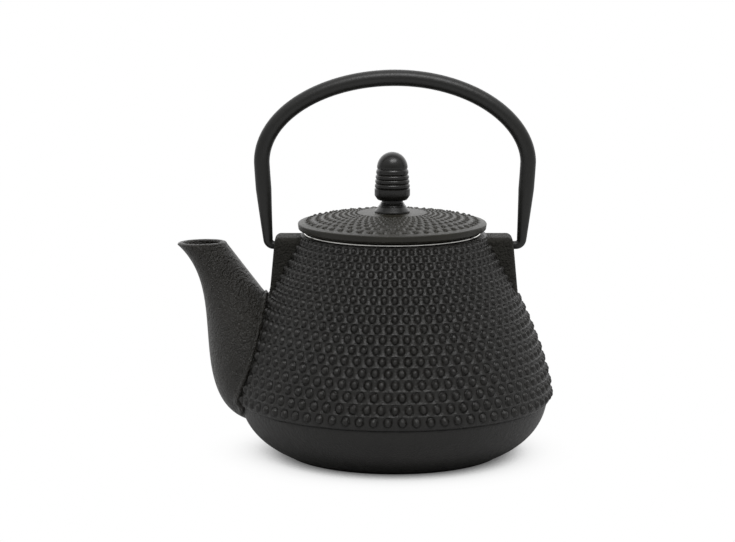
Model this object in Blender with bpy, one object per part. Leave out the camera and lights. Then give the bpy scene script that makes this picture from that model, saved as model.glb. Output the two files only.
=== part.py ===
"""Cast iron teapot: a hobnail pot with a swan spout, a bail handle on two lugs, a lift-off lid and a steel infuser.

Frame: origin at the centre of the flat base, +Z up, spout towards -X, handle pins along X. Units are metres.
Every shape is built where it belongs, so a piece's outline is read in the pot's own heights and radii.
"""
import math

import bmesh
import bpy
from mathutils import Vector

# Clearances and resolution
GAP = 0.0003                # between two pieces that touch
SHARP_ANGLE = math.radians(35)
ROUND_SEGMENTS = 48
SMALL_SEGMENTS = 28

# Pot body
BASE_RADIUS = 0.0589
BAND_RADIUS = 0.0831        # top of the smooth band that rises from the base
BAND_HEIGHT = 0.0292
BAND_PULL = (0.0801, 0.0097)  # control point that rounds the band
RIDGE_RADIUS = 0.0837       # small ridge where the hobnail field overhangs the band
RIDGE_HEIGHT = 0.0295
WIDEST_RADIUS = 0.0855
WIDEST_HEIGHT = 0.033
SHOULDER_RADIUS = 0.0507    # top end of the shoulder curve
SHOULDER_HEIGHT = 0.117
SHOULDER_POWER = 1.4        # 1 would be a cone, 2 a parabola
MOUTH_HEIGHT = 0.1186
MOUTH_OUTER_RADIUS = 0.0492
MOUTH_BORE_RADIUS = 0.0456
NECK_HEIGHT = 0.1135        # bottom of the straight mouth bore
WALL = 0.0045
FLOOR = 0.005
FLOOR_RADIUS = 0.052
FLOOR_PULL = (0.075, 0.006)
LINING_THICKNESS = 0.0005
OUTLET_HEIGHT = 0.050       # centre of the oval outlet from the pot into the spout
OUTLET_HALF_WIDTH = 0.013
OUTLET_HALF_HEIGHT = 0.020

# Spout: an oval tube between a lower edge and an upper edge in the plane Y = 0
SPOUT_LOWER_EDGE = (
    (-0.0774, 0.017), (-0.1013, 0.0231), (-0.1054, 0.0539), (-0.0914, 0.0903), (-0.1157, 0.1133),
)
SPOUT_UPPER_EDGE = ((-0.062, 0.077), (-0.0897, 0.1142))
SPOUT_ROOT_HALF_DEPTH = 0.029
SPOUT_MOUTH_HALF_DEPTH = 0.0107
SPOUT_ROOT_WALL = 0.004
SPOUT_MOUTH_WALL = 0.0024
SPOUT_STATIONS = 16

# Bail handle: an elliptical arch on two tapering legs, each ending in a pin
PIVOT_HEIGHT = 0.1126
ARCH_HEIGHT = 0.1576        # height of the arch's springing line
ARCH_HALF_WIDTH = 0.0713
ARCH_RISE = 0.0451
ROD_TOP_RADIUS = 0.0044
ROD_SIDE_RADIUS = 0.0042
ROD_SIDES = 12
TAPER_TOP_HEIGHT = 0.143    # the legs narrow from here down to the elbow
LEG_FOOT_X = 0.0684
PIN_RADIUS = 0.0022
ELBOW_RADIUS = 0.0033
PIN_END_X = 0.0582
BAIL_PLAY = 0.0006          # the bail hangs this far to the right in its lugs

# Lugs on the shoulder
LUG_TOP = 0.1178
LUG_BOTTOM = 0.080
LUG_INNER_X = 0.040
LUG_FACE_X = 0.0637         # outer face at the top
LUG_FACE_SLOPE = 0.095      # outward lean of that face, per metre downwards
LUG_HALF_WIDTH = 0.0105
LUG_EDGE_RADIUS = 0.0026
LUG_BORE_DEPTH_X = 0.056

# Infuser, which hangs from the mouth by its flange
SEAT_PLAY = 0.0008          # infuser and lid sit this far to the left in the mouth
FLANGE_RADIUS = 0.0472
FLANGE_TOP = 0.1200
FLANGE_BOTTOM = 0.1189
COLLAR_OUTER_RADIUS = 0.0444
COLLAR_INNER_RADIUS = 0.0438
COLLAR_BOTTOM = 0.107
MESH_OUTER_RADIUS = 0.0434
MESH_THICKNESS = 0.0005
MESH_TOP = 0.1135
MESH_BOTTOM = 0.0457
MESH_FLOOR_RADIUS = 0.0433
MESH_FLOOR_HEIGHT = 0.0449
BASE_RING_INNER_RADIUS = 0.0437
BASE_RING_TOP = 0.050
BASE_RING_BOTTOM = 0.044
BASE_RING_LIP_RADIUS = 0.040
SHEET = 0.0006

# Lid
LID_RADIUS = 0.0507
LID_SHOULDER_RADIUS = 0.0497
LID_RIM_ROUNDING = 0.0011   # height of the rounding between the crown and the rim
LID_RIM_HEIGHT = 0.0015     # upright part of the rim
LID_DISC_RADIUS = 0.0185    # plain flat disc round the knob
LID_DISC_HEIGHT = 0.1304
LID_CROWN_RADIUS = 0.204    # radius of the crown in section
LID_SEAT = FLANGE_TOP + GAP
LID_THICKNESS = 0.0035
LID_COLLAR_OUTER_RADIUS = 0.0430
LID_COLLAR_INNER_RADIUS = 0.0406
LID_COLLAR_BOTTOM = 0.1146

# Knob and its fastener
SCREW_HOLE_RADIUS = 0.0022
SCREW_RADIUS = 0.0019
SCREW_END = 0.149
SCREW_HEAD_RADIUS = 0.0038
SCREW_HEAD_HEIGHT = 0.0025
WASHER_RADIUS = 0.0065
WASHER_THICKNESS = 0.001
KNOB_COLLAR_TOP = 0.137
KNOB_NECK_RADIUS = 0.0057
KNOB_NECK_BOTTOM = 0.1353
KNOB_FOOT_RADIUS = 0.0094
KNOB_FOOT_THICKNESS = 0.0006
KNOB_RADIUS = 0.0095
KNOB_UNDERSIDE_RADIUS = 0.0078
KNOB_CHAMFER_HEIGHT = 0.0023
KNOB_STRAIGHT_TOP = 0.1475  # above this the knob narrows
KNOB_TOP = 0.163
KNOB_DOME_HEIGHT = 0.1545   # where the dome meets the ribs
KNOB_DOME_RADIUS = 0.0082
KNOB_HOLE_TOP = 0.150


def clear_scene():
    for piece in list(bpy.data.objects):
        bpy.data.objects.remove(piece, do_unlink=True)


def make_material(name, color, roughness, metallic):
    material = bpy.data.materials.new(name)
    material.use_nodes = True
    shader = material.node_tree.nodes["Principled BSDF"]
    shader.inputs["Base Color"].default_value = (*color, 1.0)
    shader.inputs["Roughness"].default_value = roughness
    shader.inputs["Metallic"].default_value = metallic
    material.diffuse_color = (*color, 1.0)
    return material


def add_object(name, bm, material):
    """Turns a closed bmesh into a smooth-shaded object with its faces pointing out."""
    bmesh.ops.recalc_face_normals(bm, faces=bm.faces)
    mesh = bpy.data.meshes.new(name)
    bm.to_mesh(mesh)
    bm.free()
    if material:
        mesh.materials.append(material)
    mesh.shade_smooth()
    mesh.set_sharp_from_angle(angle=SHARP_ANGLE)
    piece = bpy.data.objects.new(name, mesh)
    bpy.context.scene.collection.objects.link(piece)
    return piece


def cut(piece, cutter):
    """Takes the cutter's solid away from the piece; the cutter itself stays out of the model."""
    modifier = piece.modifiers.new("cut_" + cutter.name, "BOOLEAN")
    modifier.operation = "DIFFERENCE"
    modifier.solver = "EXACT"
    modifier.object = cutter
    cutter.hide_render = True
    cutter.display_type = "WIRE"


def bezier(points, t):
    """Point at t on the Bezier curve of any number of control points."""
    points = [Vector(point) for point in points]
    while len(points) > 1:
        points = [a.lerp(b, t) for a, b in zip(points, points[1:])]
    return points[0]


def bezier_run(points, steps):
    return [tuple(bezier(points, step / steps)) for step in range(steps + 1)]


def quarter_round(start, end, bulge_first, steps):
    """Elliptical quarter from start to end; bulge_first keeps the radius while the height changes first."""
    run = []
    for step in range(steps + 1):
        angle = math.pi / 2 * step / steps
        along, across = math.sin(angle), 1 - math.cos(angle)
        in_radius, in_height = (across, along) if bulge_first else (along, across)
        run.append((start[0] + (end[0] - start[0]) * in_radius, start[1] + (end[1] - start[1]) * in_height))
    return run


def turned(name, outline, material=None, segments=ROUND_SEGMENTS, centre_x=0.0):
    """Solid of revolution about a vertical axis, from a closed outline of (radius, height) points."""
    bm = bmesh.new()
    rings = []
    for radius, height in outline:
        if radius == 0.0:
            rings.append([bm.verts.new((centre_x, 0.0, height))] * segments)
            continue
        turn = [2 * math.pi * index / segments for index in range(segments)]
        rings.append([bm.verts.new((centre_x + radius * math.cos(a), radius * math.sin(a), height)) for a in turn])
    for ring, following in zip(rings, rings[1:] + rings[:1]):
        join_rings(bm, ring, following)
    return add_object(name, bm, material)


def join_rings(bm, ring, following):
    """Faces between two rings; a ring on the axis is one vertex repeated."""
    count = len(ring)
    for index in range(count):
        corners = [ring[index], ring[(index + 1) % count], following[(index + 1) % count], following[index]]
        corners = list(dict.fromkeys(corners))
        if len(corners) > 2:
            bm.faces.new(corners)


def shoulder_radius(height):
    """Outer radius of the pot between its widest place and its mouth."""
    share = (height - WIDEST_HEIGHT) / (SHOULDER_HEIGHT - WIDEST_HEIGHT)
    return WIDEST_RADIUS - (WIDEST_RADIUS - SHOULDER_RADIUS) * share ** SHOULDER_POWER


def outer_profile(clearance=0.0):
    """Outside of the pot from its mouth down to the edge of its base."""
    steps = 10
    heights = [SHOULDER_HEIGHT + (WIDEST_HEIGHT - SHOULDER_HEIGHT) * step / steps for step in range(steps + 1)]
    points = quarter_round((MOUTH_OUTER_RADIUS, MOUTH_HEIGHT), (SHOULDER_RADIUS, SHOULDER_HEIGHT), False, 2)[:-1]
    points += [(shoulder_radius(height), height) for height in heights]
    points += quarter_round((WIDEST_RADIUS, WIDEST_HEIGHT), (RIDGE_RADIUS, RIDGE_HEIGHT), True, 3)[1:]
    points += bezier_run(((BAND_RADIUS, BAND_HEIGHT), BAND_PULL, (BASE_RADIUS, 0.0)), 5)
    return [(radius + clearance, height) for radius, height in points]


def inner_profile(clearance=0.0):
    """Inside of the pot from the bottom of its neck down to the middle of its floor."""
    steps = 7
    heights = [NECK_HEIGHT + (WIDEST_HEIGHT - NECK_HEIGHT) * step / steps for step in range(steps + 1)]
    points = [(shoulder_radius(height) - WALL - clearance, height - clearance) for height in heights]
    corner = (points[-1], FLOOR_PULL, (FLOOR_RADIUS, FLOOR))
    points += [(radius - clearance / 2, height + clearance) for radius, height in bezier_run(corner, 4)[1:]]
    return points + [(0.0, FLOOR + clearance)]


def make_outlet_cutter():
    """Oval bar along X that opens the pot's wall into the spout."""
    bm = bmesh.new()
    turn = [2 * math.pi * index / SMALL_SEGMENTS for index in range(SMALL_SEGMENTS)]
    rings = []
    for x in (-WIDEST_RADIUS - WALL, -WIDEST_RADIUS + 4 * WALL):
        rings.append([bm.verts.new((x, OUTLET_HALF_WIDTH * math.cos(a), OUTLET_HEIGHT + OUTLET_HALF_HEIGHT * math.sin(a)))
                      for a in turn])
    join_rings(bm, *rings)
    for ring in rings:
        bm.faces.new(ring)
    return add_object("outlet_cutter", bm, None)


def make_vessel_body(material, outlet):
    inside = inner_profile()
    outline = outer_profile() + [(0.0, 0.0)]
    outline += inside[::-1]
    outline += [(MOUTH_BORE_RADIUS, NECK_HEIGHT), (MOUTH_BORE_RADIUS, MOUTH_HEIGHT)]
    body = turned("vessel_body", outline, material)
    cut(body, outlet)


def make_enamel_lining(material, outlet):
    """Vitreous enamel that coats the inside of the pot."""
    outline = inner_profile(GAP) + inner_profile(GAP + LINING_THICKNESS)[::-1]
    lining = turned("enamel_lining", outline, material, segments=32)
    cut(lining, outlet)


def make_pot_cutter():
    """The pot's outside, a gap larger, which trims the spout's root and the lugs to the wall."""
    outline = [(0.0, MOUTH_HEIGHT + GAP), (MOUTH_OUTER_RADIUS, MOUTH_HEIGHT + GAP)]
    outline += outer_profile(GAP) + [(0.0, 0.0)]
    return turned("pot_cutter", outline)


def spout_section(bm, t, wall):
    """Ring of vertices round the spout at t, from 0 at the root to 1 at the mouth, set in by wall."""
    low, high = bezier(SPOUT_LOWER_EDGE, t), bezier(SPOUT_UPPER_EDGE, t)
    centre, half_span = (low + high) / 2, (high - low) / 2
    half_span *= 1 - wall / half_span.length
    fade = math.cos(math.pi / 2 * t) ** 2
    half_depth = SPOUT_MOUTH_HALF_DEPTH + (SPOUT_ROOT_HALF_DEPTH - SPOUT_MOUTH_HALF_DEPTH) * fade - wall
    ring = []
    for index in range(SMALL_SEGMENTS):
        angle = 2 * math.pi * index / SMALL_SEGMENTS
        place = centre + half_span * math.cos(angle)
        ring.append(bm.verts.new((place.x, half_depth * math.sin(angle), place.y)))
    return ring


def make_spout(material, pot):
    bm = bmesh.new()
    stations = [step / SPOUT_STATIONS for step in range(SPOUT_STATIONS + 1)]
    outside = [spout_section(bm, t, 0.0) for t in stations]
    inside = [spout_section(bm, t, SPOUT_ROOT_WALL + (SPOUT_MOUTH_WALL - SPOUT_ROOT_WALL) * t) for t in stations]
    loop = outside + inside[::-1]
    for ring, following in zip(loop, loop[1:] + loop[:1]):
        join_rings(bm, ring, following)
    spout = add_object("spout", bm, material)
    cut(spout, pot)


def make_bore_cutter(name, side):
    """Bar along X for the bore that holds one of the bail's pins."""
    bm = bmesh.new()
    rings = []
    for x in (LUG_BORE_DEPTH_X, ARCH_HALF_WIDTH):
        ring = []
        for index in range(SMALL_SEGMENTS):
            angle = 2 * math.pi * index / SMALL_SEGMENTS
            radius = PIN_RADIUS + GAP
            ring.append(bm.verts.new((side * x, radius * math.cos(angle), PIVOT_HEIGHT + radius * math.sin(angle))))
        rings.append(ring)
    join_rings(bm, *rings)
    for ring in rings:
        bm.faces.new(ring)
    return add_object(name, bm, None)


def make_lug(name, side, material, pot):
    """Rounded block on the shoulder whose outer face leans out as it goes down."""
    bm = bmesh.new()
    bmesh.ops.create_cube(bm, size=1.0)
    for vertex in bm.verts:
        height = LUG_TOP if vertex.co.z > 0 else LUG_BOTTOM
        reach = LUG_FACE_X + (LUG_TOP - height) * LUG_FACE_SLOPE if vertex.co.x > 0 else LUG_INNER_X
        vertex.co = (side * reach, math.copysign(LUG_HALF_WIDTH, vertex.co.y), height)
    bmesh.ops.recalc_face_normals(bm, faces=bm.faces)
    bmesh.ops.bevel(bm, geom=bm.edges[:], offset=LUG_EDGE_RADIUS, segments=3, profile=0.5, affect="EDGES")
    lug = add_object(name, bm, material)
    cut(lug, pot)
    cut(lug, make_bore_cutter(name + "_bore_cutter", side))


def bail_half():
    """(x, height, rod radius) from the top of the arch down one side to the end of its pin."""
    arch_steps, elbow_steps = 14, 4
    stations = []
    for step in range(arch_steps + 1):
        angle = math.pi / 2 * step / arch_steps
        radius = ROD_TOP_RADIUS + (ROD_SIDE_RADIUS - ROD_TOP_RADIUS) * step / arch_steps
        stations.append((ARCH_HALF_WIDTH * math.sin(angle), ARCH_HEIGHT + ARCH_RISE * math.cos(angle), radius))
    leg_foot = PIVOT_HEIGHT + ELBOW_RADIUS
    taper_share = (TAPER_TOP_HEIGHT - leg_foot) / (ARCH_HEIGHT - leg_foot)
    taper_x = LEG_FOOT_X + (ARCH_HALF_WIDTH - LEG_FOOT_X) * taper_share
    stations.append((taper_x, TAPER_TOP_HEIGHT, ROD_SIDE_RADIUS))
    for step in range(elbow_steps + 1):
        angle = math.pi / 2 * step / elbow_steps
        x = LEG_FOOT_X - ELBOW_RADIUS * (1 - math.cos(angle))
        stations.append((x, leg_foot - ELBOW_RADIUS * math.sin(angle), PIN_RADIUS))
    stations.append((PIN_END_X, PIVOT_HEIGHT, PIN_RADIUS))
    return stations


def make_bail(material):
    """Round rod swept along the bail; its object's origin lies on the hinge axis."""
    half = bail_half()
    stations = [(-x, height, radius) for x, height, radius in half[:0:-1]] + half
    places = [Vector((x + BAIL_PLAY, 0.0, height)) for x, height, radius in stations]
    bm = bmesh.new()
    rings = []
    for index, place in enumerate(places):
        along = places[min(index + 1, len(places) - 1)] - places[max(index - 1, 0)]
        across = along.cross(Vector((0.0, 1.0, 0.0))).normalized()
        radius = stations[index][2]
        ring = []
        for step in range(ROD_SIDES):
            angle = 2 * math.pi * step / ROD_SIDES
            offset = across * math.cos(angle) + Vector((0.0, math.sin(angle), 0.0))
            ring.append(bm.verts.new(place + offset * radius - Vector((0.0, 0.0, PIVOT_HEIGHT))))
        rings.append(ring)
    for ring, following in zip(rings, rings[1:]):
        join_rings(bm, ring, following)
    for ring in (rings[0], rings[-1]):
        bm.faces.new(ring)
    bail = add_object("bail_handle", bm, material)
    bail.location = (0.0, 0.0, PIVOT_HEIGHT)


def make_infuser(steel, mesh_steel):
    rim = [
        (COLLAR_INNER_RADIUS, FLANGE_TOP), (FLANGE_RADIUS - GAP, FLANGE_TOP), (FLANGE_RADIUS, FLANGE_TOP - GAP),
        (FLANGE_RADIUS, FLANGE_BOTTOM + GAP), (FLANGE_RADIUS - GAP, FLANGE_BOTTOM),
        (COLLAR_OUTER_RADIUS, FLANGE_BOTTOM), (COLLAR_OUTER_RADIUS, COLLAR_BOTTOM),
        (COLLAR_INNER_RADIUS, COLLAR_BOTTOM),
    ]
    turned("infuser_rim", rim, steel, centre_x=-SEAT_PLAY)

    inner = MESH_OUTER_RADIUS - MESH_THICKNESS
    wall = [(MESH_OUTER_RADIUS, MESH_TOP), (MESH_OUTER_RADIUS, MESH_BOTTOM), (inner, MESH_BOTTOM), (inner, MESH_TOP)]
    turned("infuser_mesh_wall", wall, mesh_steel, centre_x=-SEAT_PLAY)

    top = MESH_FLOOR_HEIGHT + MESH_THICKNESS
    floor = [(0.0, top), (MESH_FLOOR_RADIUS, top), (MESH_FLOOR_RADIUS, MESH_FLOOR_HEIGHT), (0.0, MESH_FLOOR_HEIGHT)]
    turned("infuser_mesh_floor", floor, mesh_steel, centre_x=-SEAT_PLAY)

    outer = BASE_RING_INNER_RADIUS + SHEET
    base_ring = [
        (outer, BASE_RING_TOP), (outer, BASE_RING_BOTTOM), (BASE_RING_LIP_RADIUS, BASE_RING_BOTTOM),
        (BASE_RING_LIP_RADIUS, BASE_RING_BOTTOM + SHEET), (BASE_RING_INNER_RADIUS, BASE_RING_BOTTOM + SHEET),
        (BASE_RING_INNER_RADIUS, BASE_RING_TOP),
    ]
    turned("infuser_base_ring", base_ring, steel, centre_x=-SEAT_PLAY)


def crown_height(radius):
    """Height of the lid's top outside its flat disc."""
    return LID_DISC_HEIGHT - (radius ** 2 - LID_DISC_RADIUS ** 2) / (2 * LID_CROWN_RADIUS)


def crown_run(first, last, drop, steps):
    radii = [first + (last - first) * step / steps for step in range(steps + 1)]
    return [(radius, crown_height(radius) - drop) for radius in radii]


def make_lid(material):
    outline = [(SCREW_HOLE_RADIUS, LID_DISC_HEIGHT)]
    outline += crown_run(LID_DISC_RADIUS, LID_SHOULDER_RADIUS, 0.0, 5)
    rim_top = crown_height(LID_SHOULDER_RADIUS) - LID_RIM_ROUNDING
    outline += quarter_round(outline[-1], (LID_RADIUS, rim_top), False, 3)[1:]
    outline += quarter_round((LID_RADIUS, rim_top - LID_RIM_HEIGHT), (FLANGE_RADIUS, LID_SEAT), True, 3)
    outline += [(LID_COLLAR_OUTER_RADIUS, LID_SEAT), (LID_COLLAR_OUTER_RADIUS, LID_COLLAR_BOTTOM)]
    outline += [(LID_COLLAR_INNER_RADIUS, LID_COLLAR_BOTTOM)]
    outline += crown_run(LID_COLLAR_INNER_RADIUS, LID_DISC_RADIUS, LID_THICKNESS, 3)
    outline += [(SCREW_HOLE_RADIUS, LID_DISC_HEIGHT - LID_THICKNESS)]
    turned("lid", outline, material, centre_x=-SEAT_PLAY)


def make_knob(iron, steel):
    foot = LID_DISC_HEIGHT + GAP
    foot_top = foot + KNOB_FOOT_THICKNESS
    neck_pull = ((KNOB_NECK_RADIUS + KNOB_FOOT_RADIUS) / 2 - GAP, (KNOB_NECK_BOTTOM + foot_top) / 2 + GAP)
    flare = bezier_run(((KNOB_NECK_RADIUS, KNOB_NECK_BOTTOM), neck_pull, (KNOB_FOOT_RADIUS, foot_top)), 4)
    collar = [(SCREW_HOLE_RADIUS, KNOB_COLLAR_TOP), (KNOB_NECK_RADIUS, KNOB_COLLAR_TOP)] + flare
    collar += [(KNOB_FOOT_RADIUS, foot), (SCREW_HOLE_RADIUS, foot)]
    turned("knob_collar", collar, iron, SMALL_SEGMENTS, -SEAT_PLAY)

    underside = KNOB_COLLAR_TOP + GAP
    head = [(0.0, KNOB_TOP)]
    head += quarter_round((0.0, KNOB_TOP), (KNOB_DOME_RADIUS, KNOB_DOME_HEIGHT), False, 6)[1:]
    head += [(KNOB_RADIUS, KNOB_STRAIGHT_TOP), (KNOB_RADIUS, underside + KNOB_CHAMFER_HEIGHT)]
    head += [(KNOB_UNDERSIDE_RADIUS, underside)]
    head += [(SCREW_HOLE_RADIUS, underside), (SCREW_HOLE_RADIUS, KNOB_HOLE_TOP), (0.0, KNOB_HOLE_TOP)]
    turned("knob_head", head, iron, SMALL_SEGMENTS, -SEAT_PLAY)

    washer_top = LID_DISC_HEIGHT - LID_THICKNESS - GAP
    washer_bottom = washer_top - WASHER_THICKNESS
    washer = [
        (WASHER_RADIUS, washer_top), (WASHER_RADIUS, washer_bottom),
        (SCREW_HOLE_RADIUS, washer_bottom), (SCREW_HOLE_RADIUS, washer_top),
    ]
    turned("knob_washer", washer, steel, SMALL_SEGMENTS, -SEAT_PLAY)

    head_top = washer_bottom - GAP
    head_bottom = head_top - SCREW_HEAD_HEIGHT
    screw = [
        (0.0, SCREW_END), (SCREW_RADIUS, SCREW_END), (SCREW_RADIUS, head_top), (SCREW_HEAD_RADIUS, head_top),
        (SCREW_HEAD_RADIUS, head_top - SCREW_HEAD_HEIGHT / 2), (SCREW_HEAD_RADIUS / 2, head_bottom),
        (0.0, head_bottom),
    ]
    turned("knob_screw", screw, steel, SMALL_SEGMENTS, -SEAT_PLAY)


def main():
    clear_scene()
    iron = make_material("cast_iron", (0.030, 0.030, 0.029), 0.62, 0.35)
    handle_iron = make_material("handle_iron", (0.038, 0.038, 0.037), 0.50, 0.35)
    lid_iron = make_material("lid_iron", (0.050, 0.050, 0.045), 0.60, 0.35)
    enamel = make_material("enamel", (0.018, 0.018, 0.019), 0.25, 0.0)
    steel = make_material("stainless_steel", (0.62, 0.62, 0.60), 0.28, 1.0)
    mesh_steel = make_material("steel_mesh", (0.50, 0.50, 0.49), 0.40, 1.0)

    outlet = make_outlet_cutter()
    pot = make_pot_cutter()
    make_vessel_body(iron, outlet)
    make_enamel_lining(enamel, outlet)
    make_spout(iron, pot)
    make_lug("lug_spout_side", -1, iron, pot)
    make_lug("lug_rear_side", 1, iron, pot)
    make_bail(handle_iron)
    make_infuser(steel, mesh_steel)
    make_lid(lid_iron)
    make_knob(handle_iron, steel)


main()
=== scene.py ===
"""Looks of the hobnail cast iron teapot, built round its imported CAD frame. Units are metres, as there."""
import math
import random

import bmesh
import bpy
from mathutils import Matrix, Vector


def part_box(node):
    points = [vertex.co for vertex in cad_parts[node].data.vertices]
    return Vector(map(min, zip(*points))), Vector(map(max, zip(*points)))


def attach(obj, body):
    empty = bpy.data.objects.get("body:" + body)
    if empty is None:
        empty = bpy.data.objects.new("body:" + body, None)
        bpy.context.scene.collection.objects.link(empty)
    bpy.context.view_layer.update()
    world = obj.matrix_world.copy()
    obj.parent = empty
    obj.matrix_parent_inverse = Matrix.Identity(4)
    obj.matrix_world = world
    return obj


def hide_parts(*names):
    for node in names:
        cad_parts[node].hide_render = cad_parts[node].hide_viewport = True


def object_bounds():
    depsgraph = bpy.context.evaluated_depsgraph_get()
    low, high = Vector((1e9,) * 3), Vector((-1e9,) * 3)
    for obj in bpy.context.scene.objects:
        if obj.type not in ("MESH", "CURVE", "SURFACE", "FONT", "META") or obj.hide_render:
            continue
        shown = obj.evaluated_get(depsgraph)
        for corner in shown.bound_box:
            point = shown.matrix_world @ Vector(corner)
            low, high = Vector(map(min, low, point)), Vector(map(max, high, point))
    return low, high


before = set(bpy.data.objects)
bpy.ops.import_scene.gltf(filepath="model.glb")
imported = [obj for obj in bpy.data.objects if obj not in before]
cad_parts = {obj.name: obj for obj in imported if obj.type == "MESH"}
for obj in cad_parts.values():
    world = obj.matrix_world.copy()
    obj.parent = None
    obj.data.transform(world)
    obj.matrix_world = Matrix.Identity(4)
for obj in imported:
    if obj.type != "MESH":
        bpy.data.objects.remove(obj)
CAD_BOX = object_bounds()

SHARP_ANGLE = math.radians(50)

# Pot, with the main measures of the CAD model
WIDEST_RADIUS = 0.0855
WIDEST_HEIGHT = 0.033
SHOULDER_RADIUS = 0.0507
SHOULDER_HEIGHT = 0.117
SHOULDER_POWER = 1.4
MOUTH_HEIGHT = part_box("vessel_body")[1][2]
MOUTH_OUTER_RADIUS = 0.0490
MOUTH_BORE_RADIUS = 0.0456
NECK_HEIGHT = 0.1135
RIDGE_RADIUS = 0.0837
RIDGE_HEIGHT = 0.0295
BAND_RADIUS = 0.0831
BAND_HEIGHT = 0.0292
BAND_PULL = (0.0801, 0.0097)
BASE_RADIUS = 0.0589
WALL = 0.0042
FLOOR = 0.0047
FLOOR_RADIUS = 0.052
FLOOR_PULL = (0.075, 0.006)
MOUTH_EDGE = 0.0004         # chamfer inside the mouth
NAILS_BELOW_MOUTH = 0.0003
RIDGE_LIP = (               # step from the last nails in to the smooth band
    (RIDGE_RADIUS + 0.0006, RIDGE_HEIGHT),
    (RIDGE_RADIUS + 0.0001, RIDGE_HEIGHT - 0.0006),
    (BAND_RADIUS - 0.0003, BAND_HEIGHT - 0.0006),
)
BAND_TOP = (BAND_RADIUS, BAND_HEIGHT - 0.0011)
FOOT_ROUND = (0.0014, 0.0008)           # width and height of the rounded edge of the base
BASE_GROOVE_RADIUS = 0.049
BASE_GROOVE = ((0.0012, 0.0), (0.0006, 0.0004), (0.0, 0.0006), (-0.0006, 0.0004), (-0.0012, 0.0))
OUTLET_HEIGHT = 0.050
OUTLET_HALF_WIDTH = 0.0125
OUTLET_HALF_HEIGHT = 0.0195

# Hobnails: sizes are shares of the distance between neighbours in a row
POT_SEED = 7
LID_SEED = 11
POT_COLUMNS = 72
POT_ROWS = 18
LID_COLUMNS = 48
LID_ROWS = 8
NAIL_PROFILE = (
    (0.00, 0.150), (0.09, 0.138), (0.17, 0.100), (0.24, 0.040), (0.29, -0.025), (0.325, -0.082),
    (0.36, -0.102), (0.395, -0.084), (0.427, -0.046),
)
NAIL_NARROWNESS = 0.82      # width of a nail over its height
POT_NAIL_SIZE = 1.0
LID_NAIL_SIZE = 0.78
POT_RELIEF = (1.1, 0.85)    # relief of the top and the bottom row
LID_RELIEF = (0.85, 0.85)
NAIL_SIDES = 12
NAIL_SIZE_SPREAD = 0.035
NAIL_HEIGHT_SPREAD = 0.08

# Spout
SPOUT_LOWER_EDGE = (
    (-0.0774, 0.017), (-0.1013, 0.0231), (-0.1054, 0.0539), (-0.0914, 0.0903), (-0.1163, 0.1130),
)
SPOUT_UPPER_EDGE = ((-0.062, 0.077), (-0.0897, 0.1136))
SPOUT_ROOT_HALF_DEPTH = 0.029
SPOUT_MOUTH_HALF_DEPTH = 0.0107
SPOUT_ROOT_WALL = 0.004
SPOUT_LIP_WALL = 0.0033
SPOUT_STATIONS = 150
SPOUT_SIDES = 128
FLARE_REACH = 0.0055        # height above the pot over which the spout's root flares
FLARE_WIDTH = 0.0007
FLARE_ALONG_X = 0.3         # share of the flare's push that is left along X
BEAD_RADIUS = 0.0014        # rounded bead round the root, lying on the pot
LIP_RISE = 0.35             # height of the rounded lip over its wall thickness
SPOUT_SINK = 0.0012         # how far its root reaches into the pot's wall

# Lugs and bail
PIVOT_HEIGHT = 0.1126
LUG_TOP = 0.1180
LUG_BOTTOM = 0.080
LUG_INNER_X = 0.040
LUG_FACE_X = 0.0637
LUG_FACE_SLOPE = 0.095
LUG_HALF_WIDTH = 0.0105
LUG_EDGE_RADIUS = 0.0030
LUG_BORE_DEPTH_X = 0.056
LUG_SINK = 0.0008
ARCH_HEIGHT = 0.1576
ARCH_HALF_WIDTH = 0.0713
ARCH_RISE = 0.0451
LEFT_FULLNESS = 1.0
RIGHT_FULLNESS = 1.05       # the bend on the right is a little flatter than the one on the left
ROD_TOP_RADIUS = 0.0044
ROD_SIDE_RADIUS = 0.0042
TAPER_TOP_HEIGHT = 0.1430
LEG_FOOT_X = 0.0682
LEG_FOOT_RADIUS = 0.0026
LEG_EASE = 1.15             # 1 would be a straight leg
PIN_RADIUS = 0.0022
ELBOW_RADIUS = 0.0033
PIN_CLEARANCE = 0.0003
PIN_CHAMFER = 0.0005
PIN_END_X = 0.0582
BAIL_PLAY = 0.0006          # how far the bail has slid to the right on its pins

# Infuser, lid and knob share one axis, a little to the left of the pot's
LID_CENTRE_X = (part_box("lid")[0][0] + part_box("lid")[1][0]) / 2
FLANGE_RADIUS = 0.0475
FLANGE_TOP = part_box("infuser_rim")[1][2]
FLANGE_BOTTOM = 0.1187
COLLAR_OUTER_RADIUS = 0.0444
COLLAR_INNER_RADIUS = 0.0438
COLLAR_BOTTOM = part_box("infuser_rim")[0][2]
COLLAR_BEAD = (0.1100, 0.1085)          # top and bottom of the bead rolled into the collar
COLLAR_BEAD_HEIGHT = 0.0003
FLANGE_EDGE = 0.0003
MESH_RADIUS = 0.04315
MESH_TOP = 0.1135
MESH_BOTTOM = 0.0457
WIRE_PITCH = 0.0016
FLOOR_PITCH = WIRE_PITCH * 1.15
WIRE_RADIUS = 0.00024
BASE_RING_OUTER_RADIUS = 0.0443
BASE_RING_INNER_RADIUS = 0.0437
BASE_RING_LIP_RADIUS = 0.040
BASE_RING_ROUND = 0.001
BASE_RING_SHEET = 0.0006
LID_RADIUS = 0.0507
LID_SHOULDER_RADIUS = 0.0499
LID_RIM_ROUND = 0.0008
LID_RIM_SIDE = 0.0022
LID_RIM_TAPER = 0.0003
LID_RIM_UNDERCUT = 0.0024
LID_RIM_LIFT = 0.0009       # height of the rim's underside over the lid's seat
LID_SEAT_STEP = 0.0006
LID_DISC_MARGIN = 0.0008    # between the plain disc and the first nails
LID_FIELD_MARGIN = 0.0005   # between the last nails and the plain rim
LID_FIELD_RADIUS = 0.0480
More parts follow.
